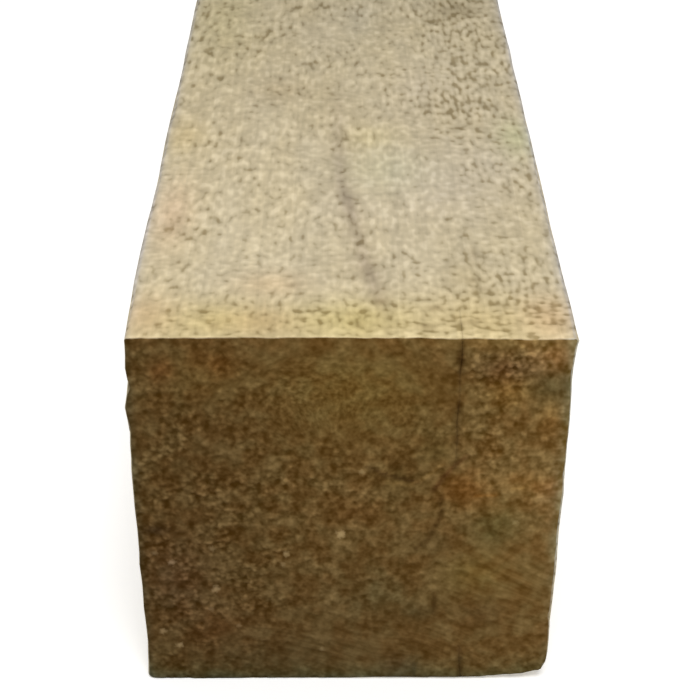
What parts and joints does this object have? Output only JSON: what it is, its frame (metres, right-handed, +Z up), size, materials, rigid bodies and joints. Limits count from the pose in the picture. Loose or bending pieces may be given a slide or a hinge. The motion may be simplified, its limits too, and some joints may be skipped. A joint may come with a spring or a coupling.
{
  "type": "sawn timber post",
  "caption": "Straight rough-sawn softwood post of square section, lying flat, with worn arrises, a strip of wane on a lower arris and drying checks in one end.",
  "frame": {"origin": "middle of the bottom face, on the surface that the post lies on", "axes": "+Y along the post, from the near end of the picture to the hidden end; +Z up out of the top face; +X to the right"},
  "size_m": [0.1, 1.8, 0.1],
  "materials": {
    "sawn_timber": "matte"
  },
  "bodies": {
    "root": {"post": "sawn_timber"}
  },
  "joints": []
}
